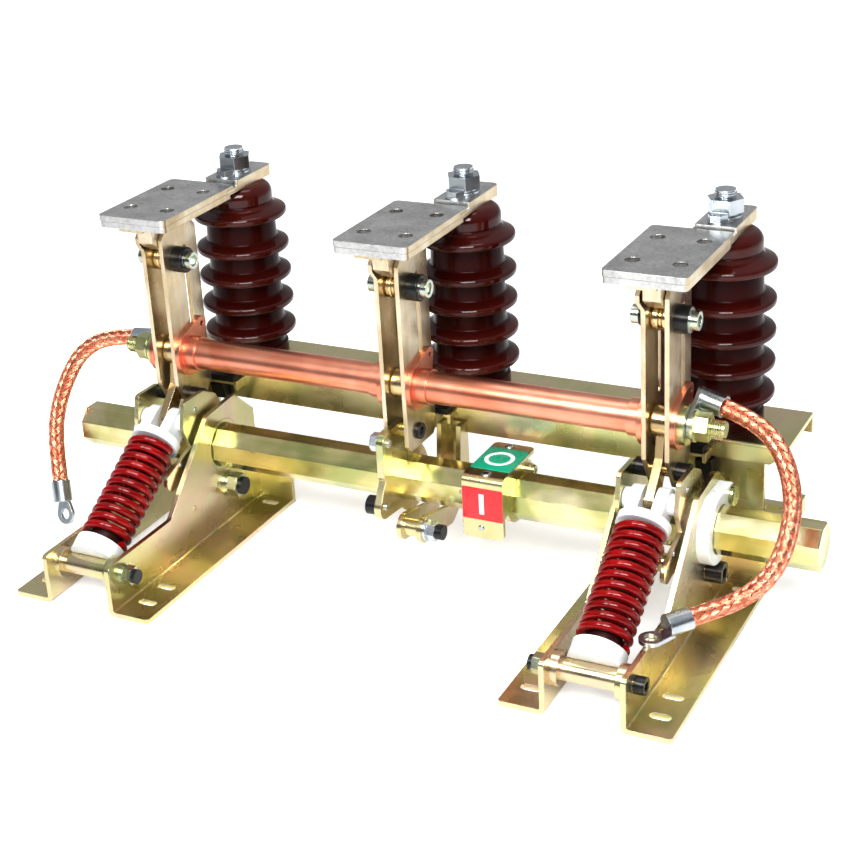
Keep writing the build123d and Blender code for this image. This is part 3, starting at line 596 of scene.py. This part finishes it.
LINK_TONES = [(0.36, (0.46, 0.34, 0.18)), (0.50, (0.62, 0.49, 0.29)), (0.64, (0.70, 0.58, 0.40))]
PAD_TONES = [(0.38, (0.44, 0.44, 0.44)), (0.50, (0.60, 0.60, 0.59)), (0.62, (0.72, 0.72, 0.71))]
BLACK = (0.008, 0.008, 0.009)
ZINC = (0.62, 0.66, 0.69)
PALE_ZINC = (0.52, 0.56, 0.41)
GOLD = (0.72, 0.56, 0.32)
PINK_EDGE = (0.78, 0.60, 0.46)
BRIGHT_EDGE = (0.88, 0.90, 0.92)
COPPER_EDGE = (0.92, 0.54, 0.42)


def black_where(f, where, colour, roughness, rubber=0.28):
    """Black moulded parts laid over a metal: their colour, gloss and metal share."""
    elsewhere = f.math("SUBTRACT", 1.0, where)
    gloss = f.math("ADD", f.both(roughness, elsewhere), f.both(where, rubber))
    return f.blend(where, colour, BLACK), gloss, elsewhere


def pin_parts(f, colour, roughness):
    """Cross pins: black heads outside, zinc washers and nuts with black inserts inside."""
    head_from = 0.24162
    nut_to = 0.17849
    front_insert_to = 0.16808
    rear_insert_to = 0.16608
    side = f.math("ABSOLUTE", f.x)
    front = f.short_of(f.y, 0.0)
    rear = f.math("SUBTRACT", 1.0, front)
    front_inserts = f.both(front, f.short_of(side, front_insert_to))
    rear_inserts = f.both(rear, f.short_of(side, rear_insert_to))
    colour = f.blend(f.short_of(side, nut_to), colour, PALE_ZINC)
    black = f.either(f.beyond(side, head_from), f.either(front_inserts, rear_inserts))
    return black_where(f, black, colour, roughness)


def local_x(f):
    """Place in X measured from the nearest blade line."""
    return f.math("WRAP", f.x, PHASE / 2, -PHASE / 2)


# half the width of the gap between a pair's two blades, where the spacers and rollers sit
BLADE_GAP_HALF = 0.00705


def clamp_parts(f, colour, roughness):
    """Clamp bolts: gold rollers between the blades, black bushes, pale ends."""
    near = local_x(f)
    rollers = f.short_of(f.math("ABSOLUTE", near), BLADE_GAP_HALF)
    colour = f.blend(rollers, f.blend(0.6, colour, PALE_ZINC), GOLD)
    left_bushes = f.between(near, -0.01650, -0.01049)
    right_bushes = f.between(near, 0.01049, 0.02050)
    return black_where(f, f.either(left_bushes, right_bushes), colour, roughness)


def spacer_parts(f, colour, roughness):
    """Blade spacers: gold between the blades, black bushes outside, black screw heads low down."""
    near = f.math("ABSOLUTE", local_x(f))
    end_phases = f.beyond(f.math("ABSOLUTE", f.x), PHASE / 2 - 0.005)
    bushes = f.both(end_phases, f.beyond(near, 0.0072))
    heads = f.both(f.between(near, 0.01051, 0.0131), f.short_of(f.z, 0.140))
    colour = f.blend(f.short_of(near, BLADE_GAP_HALF), colour, GOLD)
    return black_where(f, f.either(bushes, heads), colour, roughness)


def flange_parts(f, colour, roughness):
    """End flanges: copper against the blade, plated washers, stud and nut outside."""
    washer_from = 0.22465
    plated = f.beyond(f.math("ABSOLUTE", f.x), washer_from)
    return f.blend(plated, colour, f.ramp(f.noise(f.place, 60.0), GREEN_ZINC)), roughness, 1.0


def crank_parts(f, colour, roughness):
    """Middle crank: a bright bolt above and a black cap below."""
    plate_left, plate_right = -0.00642, -0.00038
    cap_top = 0.090
    left = f.short_of(f.x, plate_left)
    colour = f.blend(f.either(left, f.beyond(f.x, plate_right)), colour, ZINC)
    return black_where(f, f.both(left, f.short_of(f.z, cap_top)), colour, roughness)


def stop_parts(f, colour, roughness):
    """Closing stops: black pads and wedges on folded tabs."""
    tab = f.both(f.between(f.z, 0.1089, 0.11701), f.beyond(f.y, 0.0849))
    wedge = f.both(f.between(f.x, -0.2061, -0.1939), f.short_of(f.z, 0.11301))
    plain = f.both(tab, f.math("SUBTRACT", 1.0, wedge))
    return black_where(f, f.math("SUBTRACT", 1.0, plain), colour, roughness, 0.45)


def support_parts(f, colour, roughness):
    """Centre support: bright washer and nut, black cap on the stud."""
    washer_from, cap_from = 0.02902, 0.03851
    colour = f.blend(f.beyond(f.x, washer_from), colour, ZINC)
    return black_where(f, f.beyond(f.x, cap_from), colour, roughness)


yellow_zinc = plated_metal("yellow_zinc", OLIVE_GOLD, PINK_EDGE, (0.22, 0.36))
shaft_zinc = plated_metal(
    "shaft_zinc", SHAFT_GOLD, (0.86, 0.76, 0.44), (0.16, 0.28), streaks=(5.0, 90.0, 90.0),
)
bright_zinc = plated_metal("bright_zinc", BRIGHT_ZINC, BRIGHT_EDGE, (0.14, 0.26), 30.0, width=0.0004)
green_zinc = plated_metal("green_zinc", GREEN_ZINC, (0.84, 0.84, 0.60), (0.16, 0.28), 30.0, width=0.0004)
copper = plated_metal("copper", COPPER_TONES, COPPER_EDGE, (0.29, 0.37), 16.0, (6.0, 190.0, 190.0))
flange_copper = plated_metal("flange_copper", COPPER_TONES, COPPER_EDGE, (0.26, 0.34), mask=flange_parts)
blade_metal = plated_metal(
    "blade_metal", BLADE_TONES, (0.86, 0.74, 0.60), (0.24, 0.38), 26.0, (160.0, 160.0, 12.0),
)
link_bronze = plated_metal("link_bronze", LINK_TONES, (0.80, 0.60, 0.44), (0.20, 0.32), 26.0)
lug_tin = plated_metal("lug_tin", BRIGHT_ZINC, (0.90, 0.90, 0.90), (0.24, 0.36), 40.0)
pin_metal = plated_metal("pin_metal", OLIVE_GOLD, PINK_EDGE, (0.20, 0.32), mask=pin_parts)
clamp_metal = plated_metal("clamp_metal", BRIGHT_ZINC, BRIGHT_EDGE, (0.16, 0.28), mask=clamp_parts)
spacer_metal = plated_metal("spacer_metal", BRIGHT_ZINC, BRIGHT_EDGE, (0.16, 0.28), mask=spacer_parts)
crank_metal = plated_metal("crank_metal", OLIVE_GOLD, PINK_EDGE, (0.20, 0.32), mask=crank_parts)
stop_metal = plated_metal("stop_metal", OLIVE_GOLD, PINK_EDGE, (0.22, 0.34), mask=stop_parts)
support_metal = plated_metal("support_metal", OLIVE_GOLD, PINK_EDGE, (0.20, 0.32), mask=support_parts)


def terminal_finish():
    """Tinned pads with a fine scratched mottle on top, golden on their long sides and bars."""
    f = Finish("terminal_tin")
    mottle = f.noise(f.place, 320.0, 6.0, 0.7)
    patches = f.noise(f.place, 42.0, 5.0, 0.6)
    tone = f.clouded(38.0, (260.0, 40.0, 60.0), 0.4)
    mixed = f.math("ADD", f.math("MULTIPLY", mottle, 0.55), f.math("MULTIPLY", patches, 0.45))
    edges = f.use(soft_edges, Width=0.0008)
    faces = f.add("ShaderNodeSeparateXYZ")
    f.feed(f.add("ShaderNodeNewGeometry").outputs["Normal"], faces.inputs["Vector"])
    long_side = f.either(f.beyond(local_x(f), 0.0295), f.beyond(f.y, 0.101))
    flank = f.both(f.beyond(faces.outputs["X"], 0.5), long_side)
    tinned = f.both(f.beyond(f.z, 0.2705), f.math("SUBTRACT", 1.0, flank))
    colour = f.blend(tinned, f.ramp(tone, BLADE_TONES), f.ramp(mixed, PAD_TONES))
    # painted highlight: the pads' colour is lightened along their outside edges
    colour = f.blend(f.math("MULTIPLY", edges["Edge"], 0.5), colour, (0.84, 0.80, 0.74))
    seam = f.both(f.between(f.z, 0.27625, 0.27665), f.short_of(f.y, 0.120))
    colour = f.blend(f.both(seam, 0.75), colour, (0.10, 0.09, 0.08))
    scuffs = f.use(hairline_scuffs, Vector=f.place)["Height"]
    return f.give(
        Base_Color=colour, Metallic=1.0, Roughness=f.span(mottle, 0.3, 0.7, 0.26, 0.42),
        Normal=f.bump(f.math("ADD", scuffs, mottle), 0.10, 0.0004, edges["Normal"]),
    )


# insulator axes: how far to the right of each blade line, and their place in Y
POST_ASIDE = 0.016
POST_Y = 0.137


def glazed_porcelain():
    """Brown glaze with painted shade, near black, in the grooves; redder on the shed rims, partly where it
    runs thin and partly painted highlight.
    """
    f = Finish("brown_glaze")
    tone = f.clouded(10.0, (20.0, 20.0, 60.0), 0.3)
    colour = f.ramp(tone, [(0.38, (0.034, 0.0028, 0.0018)), (0.62, (0.064, 0.0066, 0.0040))])
    aside = f.math("WRAP", f.math("SUBTRACT", f.x, POST_ASIDE), PHASE / 2, -PHASE / 2)
    behind = f.math("SUBTRACT", f.y, POST_Y)
    from_axis = f.math("SQRT", f.math("ADD", f.both(aside, aside), f.both(behind, behind)))
    below_cap = f.short_of(f.z, 0.2470)
    # painted shade: the glaze is darkened near the core between the sheds, where shade falls, and made
    # rougher and less shiny there
    groove_painted_shade = f.both(f.span(from_axis, 0.0290, 0.0365, 1.0, 0.0), below_cap)
    colour = f.blend(groove_painted_shade, colour, (0.030, 0.0020, 0.0014))
    ripple = f.noise(f.place, 26.0, 2.0, 0.5)
    edges = f.use(soft_edges, Width=0.0012)
    return f.give(
        # lighter, redder colour along edges: partly thin glaze, partly painted highlight
        Base_Color=f.blend(f.math("MULTIPLY", edges["Edge"], 0.5), colour, (0.085, 0.011, 0.0065)),
        Roughness=f.span(groove_painted_shade, 0.0, 1.0, 0.06, 0.24),
        Specular_IOR_Level=f.span(groove_painted_shade, 0.0, 1.0, 0.5, 0.12),
        Normal=f.bump(ripple, 0.14, 0.0018, edges["Normal"]), IOR=1.45,
    )


# where shade is painted inside the coil, along its line from the base pin, and the bearings' plate against
# the left bracket
SHADED_BY_COIL = (0.02004, 0.11706)
LEFT_BEARING_PLATE = (-0.1792, -0.1700)


def moulded(name, light, dark, rough, shade_under_coil=False, coat=0.0, plated=None):
    """Moulded plastic with a faint orange-peel skin; the coil flag lays painted shade, tinged red, on what
    lies inside the coil; plated gives the X range of a zinc plated part.
    """
    f = Finish(name)
    tone = f.clouded(30.0, (30.0, 30.0, 30.0), 0.4)
    edges = f.use(soft_edges, Width=0.0008)
    colour = f.ramp(tone, [(0.36, dark), (0.64, light)])
    if shade_under_coil:
        # painted shade, tinged with a painted red reflection of the coil, on the plugs and rods inside the
        # coil
        forward = f.both(f.math("SUBTRACT", f.y, BASE_PIN[1]), math.cos(COIL_TILT))
        upward = f.both(f.math("SUBTRACT", f.z, BASE_PIN[2]), math.sin(COIL_TILT))
        inside = f.between(f.math("ADD", forward, upward), *SHADED_BY_COIL)
        colour = f.blend(inside, colour, (0.030, 0.004, 0.004))
    metal = 0.0
    if plated:
        metal = f.between(f.x, *plated)
        colour = f.blend(metal, colour, f.ramp(tone, OLIVE_GOLD))
    skin = f.noise(f.place, 1300.0, 2.0)
    return f.give(
        Base_Color=colour, Metallic=metal, Roughness=f.span(f.noise(f.place, 120.0), 0.3, 0.7, *rough),
        Normal=f.bump(skin, 0.08, 0.0003, edges["Normal"]), Coat_Weight=coat, Coat_Roughness=0.2,
    )


def spring_enamel():
    """Deep red gloss enamel, a little uneven where it ran."""
    f = Finish("spring_enamel")
    tone = f.clouded(50.0, (60.0, 60.0, 60.0), 0.4)
    colour = f.ramp(tone, [(0.38, (0.16, 0.0008, 0.0014)), (0.62, (0.29, 0.0020, 0.0028))])
    sag = f.noise(f.place, 240.0, 3.0)
    plain = f.add("ShaderNodeNewGeometry").outputs["Normal"]
    return f.give(
        Base_Color=colour, Roughness=0.11, Normal=f.bump(sag, 0.10, 0.0005, plain), IOR=1.45,
    )


def braid_wire():
    """Bare copper wire with bright and dull stretches."""
    f = Finish("braid_wire")
    tone = f.clouded(120.0, (500.0, 500.0, 500.0), 0.5)
    colour = f.ramp(tone, [(0.36, (0.66, 0.20, 0.11)), (0.5, (0.90, 0.40, 0.26)), (0.64, (0.97, 0.60, 0.45))])
    plain = f.add("ShaderNodeNewGeometry").outputs["Normal"]
    return f.give(
        Base_Color=colour, Metallic=1.0, Roughness=f.span(tone, 0.35, 0.65, 0.34, 0.22),
        Normal=f.bump(f.noise(f.place, 2500.0, 2.0), 0.15, 0.0002, plain),
    )


def braid_core_shade():
    """Painted shade: dark copper on the core seen between the strands, where the weave shades it."""
    f = Finish("braid_core_shade")
    colour = f.ramp(f.noise(f.place, 300.0), [(0.35, (0.050, 0.011, 0.006)), (0.65, (0.11, 0.026, 0.014))])
    return f.give(Base_Color=colour, Metallic=1.0, Roughness=0.6)


terminal_tin = terminal_finish()
brown_glaze = glazed_porcelain()
white_nylon = moulded(
    "white_nylon", (0.86, 0.88, 0.90), (0.74, 0.78, 0.82), (0.28, 0.40), shade_under_coil=True, coat=0.2,
)
bearing_nylon = moulded(
    "bearing_nylon", (0.86, 0.89, 0.90), (0.76, 0.80, 0.83), (0.26, 0.38), coat=0.2,
    plated=LEFT_BEARING_PLATE,
)
black_rubber = moulded("black_rubber", (0.014, 0.014, 0.015), (0.007, 0.007, 0.008), (0.22, 0.34))
red_label = moulded("red_label", (0.86, 0.022, 0.030), (0.80, 0.014, 0.020), (0.24, 0.34), coat=0.3)
green_label = moulded("green_label", (0.010, 0.42, 0.25), (0.008, 0.36, 0.21), (0.24, 0.34), coat=0.3)
white_mark = moulded("white_mark", (0.88, 0.90, 0.90), (0.82, 0.84, 0.84), (0.3, 0.4))
red_enamel = spring_enamel()
wire_finish = braid_wire()
core_shade = braid_core_shade()

FINISH_OF = {
    "yellow_zinc": yellow_zinc, "clear_zinc": bright_zinc, "copper": copper, "tinned_copper": blade_metal,
    "insulator_glaze": brown_glaze, "white_nylon": white_nylon, "black_nylon": black_rubber,
    "red_enamel": red_enamel, "tinned_lug": lug_tin,
}
OWN_FINISH = {
    "operating_shaft": shaft_zinc, "left_cross_pins": pin_metal, "right_cross_pins": pin_metal,
    "clamp_bolts": clamp_metal, "blade_spacers": spacer_metal, "end_flanges": flange_copper,
    "middle_crank": crank_metal, "closing_stops": stop_metal, "centre_support": support_metal,
    "left_terminal": terminal_tin, "middle_terminal": terminal_tin, "right_terminal": terminal_tin,
    "left_link": link_bronze, "right_link": link_bronze, "position_indicator": yellow_zinc,
    "left_bearings": bearing_nylon, "right_bearings": bearing_nylon,
}
for row in frame["record"]["subparts"]:
    look = OWN_FINISH.get(row["node"], FINISH_OF[row["material_slot"]])
    slots = nodes[row["node"]].data.materials
    slots.clear()
    slots.append(look)
for lead in (left_lead, right_lead):
    lead.data.materials.append(wire_finish)
    lead.data.materials.append(core_shade)


# position indicator: labels and their marks, rivets and the clamp screw, and the grub screw beside it
PLATE_FRONT = 0.025
PLATE_TOP = 0.098
LABEL_LEFT, LABEL_RIGHT = 0.0573, 0.0907
ALONG_Y, ALONG_Z = 1, 2
rounded_plate(
    "indicator_shut_label", "rotor", (LABEL_LEFT, PLATE_FRONT - 0.0004, 0.0626),
    (LABEL_RIGHT, PLATE_FRONT + 0.00005, 0.0892), ALONG_Y, 0.0008, red_label,
)
rounded_plate(
    "indicator_shut_mark", "rotor", (0.0713, PLATE_FRONT - 0.0006, 0.0674),
    (0.0754, PLATE_FRONT - 0.0002, 0.0844), ALONG_Y, 0.0003, white_mark,
)
rounded_plate(
    "indicator_open_label", "rotor", (LABEL_LEFT, 0.0405, PLATE_TOP - 0.00005),
    (LABEL_RIGHT, 0.079, PLATE_TOP + 0.0004), ALONG_Z, 0.0008, green_label,
)
OPEN_MARK = [
    (0.0085, 0.0), (0.0120, 0.0), (0.0120, 0.0003), (0.0118, 0.0004), (0.0087, 0.0004), (0.0085, 0.0003),
    (0.0085, 0.0),
]
turned_fitting(
    "indicator_open_mark", "rotor", OPEN_MARK, (0.0735, 0.060, PLATE_TOP + 0.0003), (0, 0, 1), white_mark,
    64,
)
for mark, place, axis, radius, height in (
    ("front", (0.0723, PLATE_FRONT, 0.0555), (0, -1, 0), 0.0024, 0.0010),
    ("fore", (0.0745, 0.0330, PLATE_TOP), (0, 0, 1), 0.0042, 0.0016),
    ("rear", (0.0713, 0.0835, PLATE_TOP), (0, 0, 1), 0.0036, 0.0014),
):
    rivet("indicator_" + mark + "_rivet", "rotor", place, axis, radius, height, bright_zinc)
socket_head(
    "indicator_clamp_screw", "rotor", (0.0943, 0.074, 0.086), (1, 0, 0), 0.0046, 0.003, green_zinc,
)
rivet("shaft_grub_screw", "rotor", (0.0500, 0.0382, 0.0765), (0, -1, 0), 0.0017, 0.0007, bright_zinc)

# threads on the studs of the tubes' end flanges and of the insulators
TUBE_Y, TUBE_Z = 0.049, 0.156
FLANGE_NUT_FACE = 0.24505
POST_NUT_TOP = 0.2989
for side, sign in (("left", -1), ("right", 1)):
    screw_thread(
        side + "_flange_thread", "rotor", (sign * FLANGE_NUT_FACE, TUBE_Y, TUBE_Z), (sign, 0, 0), 0.0060,
        0.0109, 0.00175, green_zinc,
    )
for phase, x in (("left", -PHASE), ("middle", 0.0), ("right", PHASE)):
    screw_thread(
        phase + "_stud_thread", "frame", (x + POST_ASIDE, POST_Y, POST_NUT_TOP), (0, 0, 1), 0.0075,
        0.0062, 0.0018, bright_zinc,
    )

coiled_spring("left_coil", "left_seat", "left_spring", -PHASE, red_enamel)
coiled_spring("right_coil", "right_seat", "right_spring", PHASE, red_enamel)

# screws in the bearing ears, rivets on the cranks and plates
BEARING_FACE = 0.2513
CRANK_FACE = 0.0242
for side, sign in (("left", -1), ("right", 1)):
    socket_head(
        side + "_bearing_screw", "frame", (sign * BEARING_FACE, 0.080, 0.0895), (sign, 0, 0), 0.0080, 0.0042,
        green_zinc, 0.2,
    )
    for mark, y, z in (("fore", 0.002, 0.0765), ("top", 0.031, 0.1135)):
        rivet(
            side + "_crank_rivet_" + mark, "rotor", (sign * PHASE + CRANK_FACE, y, z), (1, 0, 0), 0.0022,
            0.0009, bright_zinc,
        )
rivet("left_plate_rivet", "frame", (-0.1785, 0.0044, 0.037), (1, 0, 0), 0.0026, 0.0006, yellow_zinc)


# floor: pale paper, a little lit by itself, less so towards the front
bm = bmesh.new()
bmesh.ops.create_grid(bm, x_segments=8, y_segments=8, size=20.0)
floor = finished(bm, "floor")
paper = Finish("floor_paper")
tone = paper.ramp(paper.noise(paper.place, 3.0), [(0.3, (0.84, 0.84, 0.84)), (0.7, (0.86, 0.86, 0.86))])
watched = paper.add("ShaderNodeLightPath").outputs["Is Camera Ray"]
towards_back = paper.span(paper.y, -0.25, 0.35, 0.05, 0.50)
lit = paper.either(paper.both(watched, 0.62), towards_back)
floor.data.materials.append(
    paper.give(Base_Color=tone, Roughness=0.8, Emission_Color=tone, Emission_Strength=lit)
)

# backdrop: dim in front, brighter behind and above, white where the camera looks straight at it
BACKDROP = [(0.0, (0.10, 0.10, 0.11)), (0.35, (0.44, 0.44, 0.44)), (0.6, (0.50, 0.50, 0.50))]
OVERHEAD = (0.50, 0.51, 0.53)
studio = bpy.data.worlds.new("studio")
scene.world = studio
studio.use_nodes = True
sky = Layout(studio.node_tree)
back = studio.node_tree.nodes["Background"]
turned_to = sky.add("ShaderNodeSeparateXYZ")
sky.feed(sky.add("ShaderNodeTexCoord").outputs["Generated"], turned_to.inputs["Vector"])
upward = sky.span(turned_to.outputs["Z"], 0.25, 0.85, 0.0, 1.0)
glow = sky.blend(upward, sky.ramp(turned_to.outputs["Y"], BACKDROP), OVERHEAD)
seen = sky.add("ShaderNodeLightPath").outputs["Is Camera Ray"]
sky.feed(sky.blend(seen, glow, (1.0, 1.0, 1.0)), back.inputs["Color"])
back.inputs["Strength"].default_value = 1.0


# lamps: a large key from the right, a fill from the left and a weak one overhead
def softbox(name, place, target, size, power):
    """A soft rectangular lamp turned to a point."""
    data = bpy.data.lights.new(name, "AREA")
    data.shape = "RECTANGLE"
    data.size, data.size_y = size
    data.energy = power
    lamp = bpy.data.objects.new(name, data)
    scene.collection.objects.link(lamp)
    lamp.location = place
    lamp.rotation_mode = "QUATERNION"
    lamp.rotation_quaternion = (Vector(target) - Vector(place)).to_track_quat("-Z", "Y")


softbox("key", (0.73, -1.45, 1.70), (0, 0, 0.12), (1.20, 0.90), 60.0)
softbox("fill", (-0.36, -1.60, 1.70), (0, 0, 0.12), (0.60, 0.80), 24.0)
softbox("top", (-0.2, 0.3, 2.2), (0, 0, 0.1), (1.4, 0.8), 10.0)

scene.view_settings.view_transform = "Standard"
scene.view_settings.gamma = 0.86
scene.cycles.use_denoising = True
